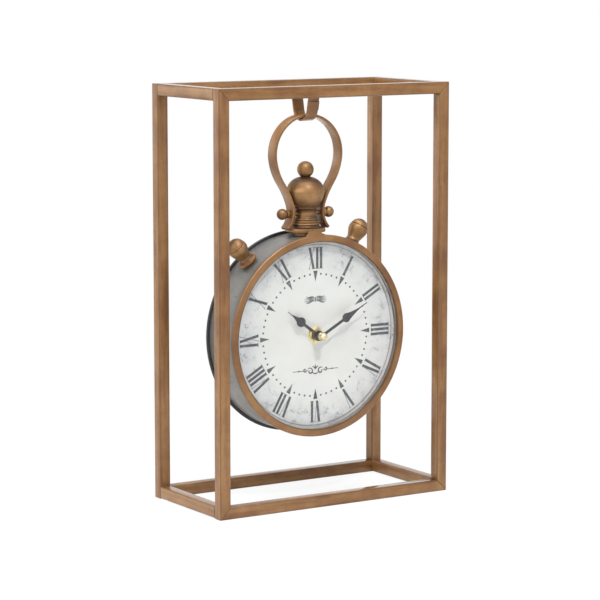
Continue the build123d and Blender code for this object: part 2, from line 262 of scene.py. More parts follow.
def dial_white():
    m = Paint("dial_white", roughness=0.62)
    far = radial_distance(m)
    cloud = m.noise(34.0, 6.0, 0.62)
    blotch = m.noise(120.0, 6.0, 0.68)
    edge = m.fade(far, 0.05, 0.077)
    worn = m.maths("MULTIPLY", edge, m.fade(blotch, 0.42, 0.62), clamp=True)
    tone = m.mix(m.fade(cloud, 0.35, 0.65), (0.64, 0.645, 0.628), (0.69, 0.695, 0.675))
    tone = m.mix(m.maths("MULTIPLY", edge, 0.6), tone, (0.57, 0.58, 0.61))
    tone = m.mix(m.maths("MULTIPLY", worn, 0.5), tone, (0.4, 0.41, 0.44))
    crackle = m.tree.nodes.new("ShaderNodeTexVoronoi")
    crackle.feature = "DISTANCE_TO_EDGE"
    crackle.inputs["Scale"].default_value = 95.0
    warped = m.node("ShaderNodeVectorMath")
    warped.operation = "ADD"
    m.plug(m.place, warped.inputs[0])
    wobble = m.node("ShaderNodeTexNoise", Vector=m.place, Scale=160.0, Detail=3.0)
    scaled = m.node("ShaderNodeVectorMath")
    scaled.operation = "SCALE"
    m.plug(wobble.outputs["Color"], scaled.inputs[0])
    scaled.inputs["Scale"].default_value = 0.012
    m.plug(scaled.outputs[0], warped.inputs[1])
    m.plug(warped.outputs[0], crackle.inputs["Vector"])
    line = m.fade(crackle.outputs["Distance"], 0.045, 0.0)
    near_rim = m.maths("MULTIPLY", line, m.fade(far, 0.056, 0.066))
    scratch = m.maths("MULTIPLY", near_rim, m.fade(blotch, 0.48, 0.56), clamp=True)
    tone = m.mix(m.maths("MULTIPLY", scratch, 0.9), tone, (0.22, 0.225, 0.24))
    m.set("Base Color", tone)
    return m.mat


def dial_ink(name, dark, pale):
    m = Paint(name, roughness=0.6)
    wear = m.noise(260.0, 5.0, 0.65)
    m.set("Base Color", m.mix(m.fade(wear, 0.52, 0.7, 0.0, 0.6), dark, pale))
    return m.mat


def plain_metal(name, low, high, roughness, metallic=1.0):
    m = Paint(name, metallic=metallic, roughness=roughness)
    fine = m.noise(400.0, 3.0, 0.55)
    m.set("Base Color", m.ramp(fine, (0.3, low), (0.7, high)))
    m.bump(fine, 0.00002, 0.4)
    return m.mat


def black_plastic():
    m = Paint("black_plastic", roughness=0.5)
    fine = m.noise(1600.0, 2.0, 0.5)
    m.set("Base Color", m.ramp(fine, (0.3, grey(0.012)), (0.7, grey(0.022))))
    m.bump(fine, 0.00004, 0.5)
    return m.mat


def cell_wrap():
    m = Paint("cell_wrap", roughness=0.28)
    parts = m.node("ShaderNodeSeparateXYZ", Vector=m.place)
    band = m.fade(parts.outputs["X"], 0.0089, 0.0091)
    fine = m.noise(500.0, 2.0, 0.5)
    body = m.ramp(fine, (0.3, (0.045, 0.055, 0.08)), (0.7, (0.06, 0.075, 0.105)))
    m.set("Base Color", m.mix(band, body, (0.5, 0.33, 0.14)))
    return m.mat


def lens_glass():
    m = Paint("lens", roughness=0.02)
    m.set("Base Color", (0.985, 0.995, 0.99, 1.0))
    m.set("Transmission Weight", 1.0)
    m.set("IOR", 1.12)
    path = m.tree.nodes.new("ShaderNodeLightPath")
    clear = m.tree.nodes.new("ShaderNodeBsdfTransparent")
    through = m.maths("MAXIMUM", path.outputs["Is Shadow Ray"], path.outputs["Is Diffuse Ray"])
    both = m.tree.nodes.new("ShaderNodeMixShader")
    m.plug(through, both.inputs["Fac"])
    m.plug(m.shader.outputs["BSDF"], both.inputs[1])
    m.plug(clear.outputs["BSDF"], both.inputs[2])
    m.plug(both.outputs["Shader"], m.tree.nodes["Material Output"].inputs["Surface"])
    return m.mat


COPPER = copper_paint("frame_copper")
TUBE_COPPER = [copper_paint("frame_copper_" + "xyz"[i], i) for i in range(3)]
BRONZE = aged_bronze()
GREY = drum_grey()
BLACK = black_cover()
RING = ring_metal()
DIAL = dial_white()
INK = dial_ink("dial_ink", (0.085, 0.088, 0.096), (0.27, 0.275, 0.29))
FAINT_INK = dial_ink("dial_faint_ink", (0.17, 0.175, 0.185), (0.42, 0.43, 0.44))
HAND = plain_metal("hand_grey", (0.045, 0.045, 0.05), (0.075, 0.075, 0.082), 0.5, 0.2)
BRASS = plain_metal("nut_brass", (0.76, 0.64, 0.38), (0.88, 0.77, 0.5), 0.3)
STEEL = plain_metal("steel", grey(0.42), grey(0.6), 0.35)
PLASTIC = black_plastic()
WRAP = cell_wrap()
GLASS = lens_glass()


# Mesh helpers
def arc3(a, b, c, steps):
    ax, ay = a
    bx, by = b
    cx, cy = c
    d = 2 * (ax * (by - cy) + bx * (cy - ay) + cx * (ay - by))
    aa, bb, cc = ax * ax + ay * ay, bx * bx + by * by, cx * cx + cy * cy
    ux = (aa * (by - cy) + bb * (cy - ay) + cc * (ay - by)) / d
    uy = (aa * (cx - bx) + bb * (ax - cx) + cc * (bx - ax)) / d
    r = math.hypot(ax - ux, ay - uy)
    start = math.atan2(ay - uy, ax - ux)
    mid = math.atan2(by - uy, bx - ux)
    end = math.atan2(cy - uy, cx - ux)
    turn = (end - start) % math.tau
    if (mid - start) % math.tau > turn:
        turn -= math.tau
    points = []
    for i in range(steps + 1):
        t = start + turn * i / steps
        points.append((ux + r * math.cos(t), uy + r * math.sin(t)))
    return points


def softened(points, radius, steps, closed=True):
    made = []
    count = len(points)
    for i, p in enumerate(points):
        if not closed and i in (0, count - 1):
            made.append(p)
            continue
        p = Vector(p)
        back = Vector(points[i - 1]) - p
        ahead = Vector(points[(i + 1) % count]) - p
        angle = back.angle(ahead)
        if angle > math.radians(165):
            made.append(tuple(p))
            continue
        cut = min(radius / math.tan(angle / 2), back.length * 0.45, ahead.length * 0.45)
        a = p + back.normalized() * cut
        b = p + ahead.normalized() * cut
        for k in range(steps + 1):
            t = k / steps
            made.append(tuple(a * (1 - t) ** 2 + p * 2 * t * (1 - t) + b * t * t))
    return made


def rounded_rect(width, height, radius, steps):
    points = []
    corners = ((1, 1, 0), (-1, 1, 90), (-1, -1, 180), (1, -1, 270))
    for sx, sy, turn in corners:
        for i in range(steps + 1):
            a = math.radians(turn + 90 * i / steps)
            x = sx * (width / 2 - radius) + radius * math.cos(a)
            y = sy * (height / 2 - radius) + radius * math.sin(a)
            points.append((x, y))
    return points


def loft(bm, rings, loop=False, open_ring=False):
    made = [[bm.verts.new(p) for p in ring] for ring in rings]
    count = len(rings[0])
    pairs = list(zip(made, made[1:]))
    if loop:
        pairs.append((made[-1], made[0]))
    last = count - 1 if open_ring else count
    for a, b in pairs:
        for j in range(last):
            k = (j + 1) % count
            bm.faces.new((a[j], a[k], b[k], b[j]))
    if not loop and not open_ring:
        bm.faces.new(made[0])
        bm.faces.new(made[-1])
    return made


SHARP_ANGLE = math.radians(33.0)


def piece(name, bm, material, body, nodes):
    bmesh.ops.remove_doubles(bm, verts=bm.verts, dist=1e-5)
    bmesh.ops.recalc_face_normals(bm, faces=bm.faces)
    bmesh.ops.scale(bm, vec=(MM, MM, MM), verts=bm.verts)
    for face in bm.faces:
        face.smooth = True
    for edge in bm.edges:
        edge.smooth = len(edge.link_faces) == 2 and edge.calc_face_angle(0.0) < SHARP_ANGLE
    mesh = bpy.data.meshes.new(name)
    bm.to_mesh(mesh)
    bm.free()
    mesh.materials.append(material)
    obj = bpy.data.objects.new(name, mesh)
    bpy.context.scene.collection.objects.link(obj)
    if nodes:
        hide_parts(*nodes)
    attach(obj, body)
    return obj


TOWARDS_BACK = Matrix(((1, 0, 0, 0), (0, 0, 1, 0), (0, -1, 0, 0), (0, 0, 0, 1)))
ALONG_X = Matrix(((0, 0, 1, 0), (0, 1, 0, 0), (-1, 0, 0, 0), (0, 0, 0, 1)))


# A profile holds (radius, height) pairs. A closed one doesn't touch the axis
def lathe(profile, place, segments, closed, groove=None):
    bm = bmesh.new()
    layer = bm.verts.layers.float.new("groove")
    rings = []
    for i in range(segments):
        a = math.tau * i / segments
        rings.append([place @ Vector((r * math.cos(a), r * math.sin(a), h)) for r, h in profile])
    made = loft(bm, rings, loop=True, open_ring=not closed)
    if groove:
        for ring in made:
            for vert, depth in zip(ring, groove):
                vert[layer] = depth
    return bm


# How far each point lies inside the widest one near it, from 0 to 1, for the darker grooves
def hollows(profile, reach):
    depths = []
    for r, h in profile:
        near = [(q, k) for q, k in profile if abs(k - h) < reach and q > 0.5]
        most = max(q for q, k in near) if near else r
        depths.append(min(1.0, max(0.0, (most - r) / 2.2)) if r > 0.5 else 0.0)
    return depths


def turned(name, profile, place, material, body, nodes, segments, closed=False, reach=0.0):
    groove = hollows(profile, reach) if reach else None
    bm = lathe(profile, place, segments, closed, groove)
    return piece(name, bm, material, body, nodes)


def ring_profile(r_in, r_out, y0, y1, soft):
    return softened([(r_in, y0), (r_out, y0), (r_out, y1), (r_in, y1)], soft, 2)


def about_dial():
    return Matrix.Translation((0, 0, ZC)) @ TOWARDS_BACK


def circle_at(r, y, z, count):
    turns = [math.tau * i / count for i in range(count)]
    return [Vector((r * math.cos(a), y, z + r * math.sin(a))) for a in turns]


def slab(outline, y0, y1, turn, bevel):
    bm = bmesh.new()
    place = Matrix.Translation((0, 0, ZC)) @ Matrix.Rotation(turn, 4, "Y")
    loft(bm, [[place @ Vector((x, y, z)) for x, z in outline] for y in (y0, y1)])
    edges = [e for e in bm.edges if e.calc_face_angle(0.0) > math.radians(50)]
    bmesh.ops.bevel(bm, geom=edges, offset=bevel, segments=2, affect="EDGES", profile=0.6)
    return bm


# Frame of square tube: mitred front and rear rings, square-ended ties between them
TUBE = 10.0
TUBE_CORNER = 1.2
SEAM = 0.3
# Painted shade along the middle of each rounded tube corner, set in the groove attribute; SEAM_WEAR
# marks the dark joint lines at the tube ends
CORNER_PAINTED_SHADE = (0.0, 0.5, 0.85, 0.5, 0.0)
SEAM_WEAR = 0.7


def tube_piece(node, mitred):
    box = span(node)
    sizes = [high - low for low, high in box]
    axis = sizes.index(max(sizes))
    along = Vector([1.0 if i == axis else 0.0 for i in range(3)])
    centre = Vector([middle(pair) for pair in box])
    if mitred:
        ring_centre = Vector((0.0, centre.y, middle(span("front_left_post")[2])))
        inward = (ring_centre - centre).normalized()
    else:
        inward = Vector((-1.0 if centre.x > 0 else 1.0, 0, 0))
    side = along.cross(inward)
    half = sizes[axis] / 2
    rings = []
    seams = ((-1, 0.0, SEAM), (-1, SEAM, 0.0), (1, SEAM, 0.0), (1, 0.0, SEAM))
    for end, lift, inset in seams:
        ring = []
        width = TUBE - 2 * inset
        for a, b in rounded_rect(width, width, TUBE_CORNER - inset, len(CORNER_PAINTED_SHADE) - 1):
            depth = TUBE / 2 + a if mitred else 0.0
            t = end * (half - depth - lift)
            ring.append(centre + along * t + inward * a + side * b)
        rings.append(ring)
    bm = bmesh.new()
    layer = bm.verts.layers.float.new("groove")
    for ring, (_, lift, _) in zip(loft(bm, rings), seams):
        for i, vert in enumerate(ring):
            vert[layer] = SEAM_WEAR if lift == 0.0 else CORNER_PAINTED_SHADE[i % len(CORNER_PAINTED_SHADE)]
    return piece("tube_" + node, bm, TUBE_COPPER[axis], "frame", (node,))


for where in ("front", "rear"):
    for name in ("left_post", "right_post", "top_rail", "bottom_rail"):
        tube_piece(where + "_" + name, True)
for side in ("left", "right"):
    tube_piece(side + "_top_tie", False)
    tube_piece(side + "_bottom_tie", False)


def block(name, box, radius, material, body, nodes):
    (x0, x1), (y0, y1), (z0, z1) = box
    bm = bmesh.new()
    rings = []
    for y, inset in ((y0, radius), (y0 + radius, 0.0), (y1 - radius, 0.0), (y1, radius)):
        outline = rounded_rect(x1 - x0 - 2 * inset, z1 - z0 - 2 * inset, radius, 3)
        rings.append([Vector(((x0 + x1) / 2 + a, y, (z0 + z1) / 2 + b)) for a, b in outline])
    loft(bm, rings)
    return piece(name, bm, material, body, nodes)


block("bar", bar_box, 0.5, COPPER, "frame", ("hanger_bar",))


# Sections of a flat strap along a path, shifted outwards from it
def strap_rings(path, to_world, thick, wide, shift, closed, soft=0.35):
    rings = []
    count = len(path)
    for i, p in enumerate(path):
        before = path[i - 1] if closed or i > 0 else p
        after = path[(i + 1) % count] if closed or i < count - 1 else p
        run = (Vector(after) - Vector(before)).normalized()
        out = Vector((run.y, -run.x))
        ring = []
        for t, w in rounded_rect(thick, wide, soft, 3):
            q = Vector(p) + out * (t + shift)
            ring.append(to_world(q.x, q.y, w))
        rings.append(ring)
    return rings


def shrunk(ring, amount):
    centre = sum(ring, Vector()) / len(ring)
    return [centre + (p - centre) * amount for p in ring]


# Hanger strap: a closed loop welded under the bar, with a lap on its front arm
STRAP_W = 10.6
STRAP_T = 1.5
HOOK_R = 11.5
HOOK_HALF = 14.0
LAP_T = 1.1
bar_low = bar_box[2][0]
hook_z = strap_box[2][0] + HOOK_R
rise = bar_low - hook_z
reach = math.hypot(HOOK_HALF, rise)
tangent = math.atan2(rise, HOOK_HALF) - math.acos(HOOK_R / reach)
tip_a = (HOOK_R * math.cos(tangent), HOOK_R * math.sin(tangent))
tip_b = (-tip_a[0], tip_a[1])
loop_path = arc3(tip_a, (0.0, -HOOK_R), tip_b, 48)
top_corners = softened([tip_b, (-HOOK_HALF, rise), (HOOK_HALF, rise), tip_a], 2.4, 5, closed=False)
loop_path += top_corners[1:-1]


def in_hanger(y, z, w):
    return Vector((w, HANG_Y + y, hook_z + z))


def hanger():
    bm = bmesh.new()
    loft(bm, strap_rings(loop_path, in_hanger, STRAP_T, STRAP_W, STRAP_T / 2, True), loop=True)
    arm_run = (Vector((-HOOK_HALF, rise)) - Vector(tip_b)).normalized()
    low = Vector(tip_b) + arm_run * 0.4
    lap = [tuple(low + arm_run * s) for s in (0.0, 0.3, 3.0, 7.6)]
    rings = strap_rings(lap, in_hanger, LAP_T, STRAP_W - 0.4, -LAP_T / 2, False, 0.3)
    rings[0] = shrunk(rings[0], 0.93)
    loft(bm, rings)
    return piece("strap_loop", bm, COPPER, "frame", ("hanger_strap",))


hanger()

# Bail: round top, then arcs on each side as (radius, turn in degrees), inward turns positive
BAIL_T = 2.3
BAIL_END_SOFT = 0.3
BAIL_R = 32.4
BAIL_ARC_END = math.radians(-8.3)
BAIL_STRAIGHT = 3.4
BAIL_TURNS = [(46.8, 25.0), (0, 0), (68.2, -14.3), (20.2, -63.3)]
bail_z = bail_box[2][1] - BAIL_T / 2 - BAIL_R


def bail_side():
    points = []
    steps = 40
    for i in range(steps + 1):
        a = math.pi / 2 + (BAIL_ARC_END - math.pi / 2) * i / steps
        points.append(Vector((BAIL_R * math.cos(a), bail_z + BAIL_R * math.sin(a))))
    heading = -math.pi / 2 + BAIL_ARC_END
    for radius, turn in BAIL_TURNS:
        if turn == 0:
            run = Vector((math.cos(heading), math.sin(heading)))
            points.append(points[-1] + run * BAIL_STRAIGHT)
            continue
        steps = max(6, int(abs(turn) / 3))
        step = -math.radians(turn) / steps
        chord = 2 * radius * math.sin(abs(step) / 2)
        for _ in range(steps):
            run = Vector((math.cos(heading + step / 2), math.sin(heading + step / 2)))
            points.append(points[-1] + run * chord)
            heading += step
    return points


def in_bail(x, z, w):
    return Vector((x, HANG_Y + w, z))


def bail():
    right_side = bail_side()
    left_side = [Vector((-p.x, p.y)) for p in reversed(right_side[1:])]
    path = [tuple(p) for p in left_side + right_side]
    rings = strap_rings(path, in_bail, BAIL_T, BAIL_W, 0.0, False, 0.55)
    rings = [shrunk(rings[0], 0.9)] + rings + [shrunk(rings[-1], 0.9)]
    for near, inner in ((1, 2), (-2, -3)):
        run = (rings[near][0] - rings[inner][0]).normalized()
        rings[near] = [p - run * BAIL_END_SOFT for p in rings[near]]
    bm = bmesh.new()
    loft(bm, rings)
    return piece("bail", bm, COPPER, "bail", ("bail_strap",))


bail()

# Crown: turned pillar, ball and the pins that carry the bail
SADDLE_R = 9.5
base_disc = [(14.0, 0.0), (16.8, 0.2), (16.8, 3.1), (15.6, 3.6)]
pillar_profile = [(0.0, 0.0)] + softened(base_disc, 0.6, 3, closed=False)
pillar_profile += arc3((15.6, 3.6), (12.9, 4.3), (11.7, 5.7), 6)[1:]
pillar_profile += arc3((11.7, 5.7), (12.1, 6.8), (11.1, 7.9), 7)[1:]
pillar_profile += arc3((11.1, 7.9), (11.3, 9.0), (10.2, 10.0), 7)[1:]
pillar_profile += arc3((10.2, 10.0), (10.4, 11.0), (9.4, 11.9), 7)[1:]
pillar_profile += arc3((9.4, 11.9), (8.5, 15.6), (9.7, 19.7), 9)[1:]
pillar_profile += [(10.9, 20.2), (11.0, 20.7), (10.8, 21.0)]
pillar_profile += arc3((10.8, 21.0), (14.2, 26.6), (16.2, 34.0), 12)[1:]
pillar_profile += arc3((16.2, 34.0), (12.7, 41.7), (3.7, CROWN_H), 16)[1:]
pillar_profile += [(0.0, CROWN_H)]
place = Matrix.Translation((0, HANG_Y, CROWN_BASE))
node = "crown_pillar"
turned("crown", pillar_profile, place, BRONZE, "case", (node,), 96, reach=2.6)


def crown_foot():
    bm = bmesh.new()
    count = 64
    low = []
    high = []
    for i in range(count):
        a = math.tau * i / count
        x = SADDLE_R * math.cos(a)
        y = HANG_Y + SADDLE_R * math.sin(a)
        low.append(Vector((x, y, ZC + math.sqrt(BAND_R ** 2 - x * x) - 0.3)))
        high.append(Vector((x, y, CROWN_BASE + 0.3)))
    loft(bm, [low, high])
    return piece("crown_saddle", bm, BRONZE, "case", ())


crown_foot()


def ball_profile(radius, start_angle, steps=26):
    points = []
    for i in range(steps + 1):
        a = start_angle + (math.pi / 2 - start_angle) * i / steps
        points.append((max(0.0, radius * math.cos(a)), radius * math.sin(a)))
    return points


ball_low = -math.asin(min(1.0, (BALL_Z - CROWN_TOP) / BALL_R))
ball = [(0.0, BALL_R * math.sin(ball_low))] + ball_profile(BALL_R, ball_low)
place = Matrix.Translation((0, HANG_Y, BALL_Z))
turned("ball", ball, place, BRONZE, "case", ("crown_ball",), 72)

PIN_R = 1.9
PIN_BALL_X = 22.9
PIN_BALL_R = 4.7
PIN_NECK_R = 2.7
collar = [(PIN_R, 16.9), (3.4, 16.9), (3.4, 18.9), (PIN_NECK_R, 19.3)]
pin_profile = [(0.0, 8.0), (PIN_R, 8.0), (PIN_R, 16.9)]
pin_profile += softened(collar, 0.4, 3, closed=False)[1:]
neck = math.asin(PIN_NECK_R / PIN_BALL_R)
for i in range(25):
    a = -math.pi / 2 + neck + (math.pi - neck) * i / 24
    pin_profile.append((max(0.0, PIN_BALL_R * math.cos(a)), PIN_BALL_X + PIN_BALL_R * math.sin(a)))
for side, sign in (("left", -1), ("right", 1)):
    place = Matrix.Translation((0, HANG_Y, PIN_Z)) @ ALONG_X
    if sign < 0:
        place = Matrix.Translation((0, HANG_Y, PIN_Z)) @ Matrix.Rotation(math.pi, 4, "Z") @ ALONG_X
    node = "bail_pin_" + side
    turned("pin_" + side, pin_profile, place, BRONZE, "case", (node,), 64, reach=1.5)

# Pushers, whose heights run outwards from the axis of the case
pusher_profile = [(0.0, 82.6), (6.6, 82.6), (6.6, 86.0), (8.4, 86.1)]
pusher_profile += [(8.8, 86.35), (8.9, 86.7), (8.75, 87.2)]
pusher_profile += arc3((8.7, 87.3), (6.1, 88.9), (5.7, 91.6), 9)[1:]
pusher_profile += [(6.4, 93.5), (7.1, 95.35), (7.8, 97.2)]
pusher_profile += arc3((7.8, 97.2), (8.3, 99.8), (8.0, 102.2), 7)[1:]
pusher_profile += [(7.6, 102.45), (7.25, 102.6), (7.2, 102.8), (7.6, 103.0)]
pusher_profile += arc3((7.7, 103.1), (5.4, 107.2), (0.0, 109.3), 16)
pusher_profile[-1] = (0.0, pusher_profile[-1][1])
for side, angle in PUSHER_ANGLES.items():
    place = Matrix.Translation((0, HANG_Y, ZC)) @ Matrix.Rotation(math.radians(angle), 4, "Y")
    node = side + "_pusher"
    name = "button_" + side
    turned(name, pusher_profile, place, BRONZE, "case", (node,), 72, reach=1.7)

# Round case
band_profile = ring_profile(BAND_IN, BAND_R, BAND_FRONT, BAND_BACK, 0.15)
turned("drum", band_profile, about_dial(), GREY, "case", ("case_band",), 192, True)

lip = BEZEL_HOLE_R + 0.6
shoulder = BEZEL_R - 1.5
inner_edge = (BEZEL_HOLE_R, BEZEL_FRONT + 0.5)
bezel_profile = [(BEZEL_HOLE_R, BAND_FRONT), inner_edge]
bezel_profile += arc3(inner_edge, (lip - 0.4, BEZEL_FRONT + 0.15), (lip, BEZEL_FRONT), 4)[1:]
edge_start = (shoulder, BEZEL_FRONT + 0.08)
edge_middle = (BEZEL_R - 0.38, BEZEL_FRONT + 0.52)
edge_end = (BEZEL_R, BEZEL_FRONT + 1.5)
bezel_profile += [(lip + 0.4, BEZEL_FRONT), (81.6, BEZEL_FRONT), edge_start]
bezel_profile += arc3(edge_start, edge_middle, edge_end, 7)[1:]
bezel_profile += [(BEZEL_R, BAND_FRONT - 0.2), (BEZEL_R - 0.2, BAND_FRONT)]
# Painted shade on the bezel's inner lip and on the back of its outer rounded edge, carried in the
# groove attribute
bezel_painted_shade = [1.0 if r < lip + 0.2 or y > BEZEL_FRONT + 1.0 else 0.0 for r, y in bezel_profile]
ring_bezel = lathe(bezel_profile, about_dial(), 192, True, bezel_painted_shade)
piece("ring_bezel", ring_bezel, COPPER, "case", ("bezel",))

TAB_TURN = math.radians(-3.2)
tab_outline = [(-8.2, 84.0), (8.2, 84.0), (8.0, 84.9), (4.4, 89.1), (-4.4, 89.1), (-8.0, 84.9)]
tab = slab(tab_outline, BEZEL_FRONT + 0.25, BEZEL_FRONT + 2.15, TAB_TURN, 0.3)
piece("tab", tab, COPPER, "case", ())

LENS_R = 77.8
LENS_RISE = 13.6
LENS_T = 1.6
LENS_EDGE = 79.1
SEAT_R = 76.2
SEAT_W = 0.4
lens_front = BAND_FRONT - LENS_RISE
half = LENS_R * 0.5
big = (LENS_R ** 2 + LENS_RISE ** 2) / (2 * LENS_RISE)
bow = lens_front + big - math.sqrt(big * big - half * half)
lens_profile = arc3((0.0, lens_front), (half, bow), (LENS_R, BAND_FRONT), 32)
lens_profile[0] = (0.0, lens_front)
lens_profile += [(LENS_EDGE, BAND_FRONT), (LENS_EDGE, BAND_FRONT + LENS_T)]
rim_back = (LENS_R - 1.0, BAND_FRONT + LENS_T)
lens_back = (0.0, lens_front + LENS_T)
lens_profile += arc3(rim_back, (half, bow + LENS_T), lens_back, 32)
lens_profile[-1] = lens_back
turned("glass", lens_profile, about_dial(), GLASS, "case", ("glass_lens",), 160)

ring_back = span("inner_ring")[1][1]
spacer = ring_profile(RING_IN_R, BAND_IN, BAND_FRONT, ring_back, 0.3)
turned("spacer_ring", spacer, about_dial(), RING, "case", ("inner_ring",), 192, True)
seat = ring_profile(SEAT_R, SEAT_R + SEAT_W, DIAL_Y - 0.3, DIAL_Y - 0.02, 0.1)
turned("glass_seat", seat, about_dial(), RING, "case", (), 192, True)
plate = [(BUSH_R, DIAL_Y), (BAND_IN, DIAL_Y), (BAND_IN, DIAL_Y + 1), (BUSH_R, DIAL_Y + 1)]
turned("dial", plate, about_dial(), DIAL, "case", ("dial_plate",), 160, True)

# Rear cover: rolled rim and a flat plate with a square opening
OPENING = 32.0
OPENING_CORNER = 7.0
COVER_T = 1.5
PLATE_R = COVER_R - 2.4
plate_y = COVER_BACK - COVER_T


def cover_rim():
    r = COVER_R
    lap = (r - 0.9, COVER_FRONT)
    profile = [(BAND_R, COVER_FRONT), lap]
    profile += arc3(lap, (r - 0.2, COVER_FRONT + 0.45), (r, COVER_FRONT + 1.1), 5)[1:]
    profile += arc3((r, COVER_BACK - 1.1), (r - 0.3, COVER_BACK - 0.35), (r - 1.1, COVER_BACK), 5)
    profile += [(PLATE_R, COVER_BACK), (PLATE_R, plate_y), (BAND_R, plate_y)]
    return lathe(profile, about_dial(), 192, True)


# Where a ray at angle a from the middle meets the round-cornered opening
def opening_point(a):
    reach = OPENING / max(abs(math.cos(a)), abs(math.sin(a)))
    x = reach * math.cos(a)
    z = reach * math.sin(a)
    inner = OPENING - OPENING_CORNER
    if abs(x) > inner and abs(z) > inner:
        cx = math.copysign(inner, x)
        cz = math.copysign(inner, z)
        along = cx * math.cos(a) + cz * math.sin(a)
        square = along * along - (cx * cx + cz * cz - OPENING_CORNER ** 2)
        reach = along + math.sqrt(max(0.0, square))
        x = reach * math.cos(a)
        z = reach * math.sin(a)
    return x, z


def cover_plate():
    bm = cover_rim()
    count = 192
    back = COVER_BACK
    rings = []
    for i in range(count):
        a = math.tau * i / count
        ix, iz = opening_point(a)
        ring = []
        for f, y in ((0, plate_y), (0, back), (0.5, back), (1, back), (1, plate_y)):
            x = ix + (PLATE_R * math.cos(a) - ix) * f
            z = iz + (PLATE_R * math.sin(a) - iz) * f
            ring.append(Vector((x, y, ZC + z)))
        rings.append(ring)
    loft(bm, rings, loop=True)
    return piece("cover", bm, BLACK, "case", ("rear_cover",))


cover_plate()


# Hands: a slim stem, a pear and a long point
def blade_outline(stem, pear_r, pear_at, tip, hub_r):
    stops = [-hub_r + hub_r * (1 - math.cos(math.pi * i / 16)) for i in range(17)]
    stops += [hub_r + (pear_at - pear_r * 1.1 - hub_r) * i / 3 for i in range(1, 4)]
    stops += [pear_at - pear_r * math.cos(math.pi * i / 24) for i in range(0, 13)]
    stops += [pear_at + (tip - pear_at) * i / 16 for i in range(1, 17)]
    right_side = []
    for s in sorted(set(round(v, 4) for v in stops)):
        widths = [0.0]
        if abs(s) < hub_r:
            widths.append(math.sqrt(hub_r ** 2 - s * s))
        if 0 < s < pear_at:
            widths.append(stem / 2)
        if abs(s - pear_at) < pear_r:
            widths.append(math.sqrt(pear_r ** 2 - (s - pear_at) ** 2))
        if s >= pear_at:
            u = (s - pear_at) / (tip - pear_at)
            widths.append(max(0.22, 0.97 * pear_r * (1 - u) ** 2.15))
        right_side.append((max(widths), s))
    left_side = [(-w, s) for w, s in reversed(right_side) if w > 0.05]
    return [p for p in right_side if p[0] > 0.05] + left_side


# The pipes are (radius, front, back)
def hand(name, outline, y, angle, body, node, pipes):
    bm = slab(outline, y, y + HAND_T, math.radians(angle), 0.15)
    for r, y0, y1 in pipes:
        loft(bm, [circle_at(r, y0, ZC, 40), circle_at(r, y1, ZC, 40)])
    return piece(name, bm, HAND, body, (node,))


hour_line = blade_outline(2.4, 4.1, 21.5, 37.6, 4.4)
minute_line = blade_outline(2.3, 3.9, 28.6, 52.3, 3.8)
hand("hour", hour_line, HOUR_Y, HOUR_ANGLE, "hour", "hour_hand", [(2.5, HOUR_Y + 0.7, -12.2)])
minute_pipes = [(3.2, MINUTE_Y + 0.7, HOUR_Y - 1.4), (1.5, MINUTE_Y - 3.4, -12.0)]
hand("minute", minute_line, MINUTE_Y, MINUTE_ANGLE, "minute", "minute_hand", minute_pipes)

cap = [(0.0, CAP_FRONT), (1.2, CAP_FRONT)]
cap += arc3((1.2, CAP_FRONT), (2.7, CAP_FRONT + 0.6), (3.2, CAP_FRONT + 2.0), 8)[1:]
cap += [(3.2, MINUTE_Y - 0.5), (3.4, MINUTE_Y - 0.35), (3.4, MINUTE_Y), (0.0, MINUTE_Y)]
turned("cap", cap, about_dial(), BRASS, "minute", ("minute_cap",), 48)

WASHER_R = 7.4
WASHER_T = 0.6
NUT_ACROSS = 10.5
BUSH_BORE = 2.6
THREAD_TURNS = 6
nut_front = DIAL_Y - 2.5
washer = ring_profile(BUSH_R, WASHER_R, DIAL_Y - WASHER_T, DIAL_Y, 0.15)
turned("washer", washer, about_dial(), BRASS, "case", ("dial_washer",), 64, True)
bush_back = span("threaded_bush")[1][1]
pitch = (nut_front - BUSH_FRONT) / THREAD_TURNS
bush = [(BUSH_BORE, BUSH_FRONT), (3.5, BUSH_FRONT)]
for i in range(THREAD_TURNS):
    bush += [(BUSH_R, BUSH_FRONT + pitch * (i + 0.5)), (3.6, BUSH_FRONT + pitch * (i + 1))]
bush += [(BUSH_R, DIAL_Y - 2.4), (BUSH_R, bush_back), (BUSH_BORE, bush_back)]
turned("bush", bush, about_dial(), BRASS, "case", ("threaded_bush",), 48, True)

reach = NUT_ACROSS / math.sqrt(3)
nut_turns = [math.radians(60 * i + 30) for i in range(6)]
hexagon = [(reach * math.cos(a), reach * math.sin(a)) for a in nut_turns]
nut = slab(softened(hexagon, 0.4, 2), nut_front, DIAL_Y - WASHER_T, math.radians(12), 0.25)
piece("nut", nut, BRASS, "case", ("dial_nut",))


# Printing on the dial: flat outlines a twentieth of a millimetre proud of the plate
def stroke(points, widths):
    left_side = []
    right_side = []
    count = len(points)
    for i, p in enumerate(points):
        run = Vector(points[min(i + 1, count - 1)]) - Vector(points[max(i - 1, 0)])
        out = Vector((run.y, -run.x)).normalized() * widths[i] / 2
        left_side.append(tuple(Vector(p) + out))
        right_side.append(tuple(Vector(p) - out))
    return left_side + right_side[::-1]


def bar(x0, y0, x1, y1, width):
    return stroke([(x0, y0), (x1, y1)], [width, width])


def level(x0, y0, x1, y1, width):
    # A slanted stroke whose ends are cut level
    h = width / 2
    return [(x0 - h, y0), (x0 + h, y0), (x1 + h, y1), (x1 - h, y1)]


NUM_LOW = 55.9
NUM_HIGH = 74.0
THICK = 2.3
THIN = 0.5
SERIF = 0.5


def serif(x0, x1, at, inward):
    return bar(x0, at + inward * SERIF / 2, x1, at + inward * SERIF / 2, SERIF)


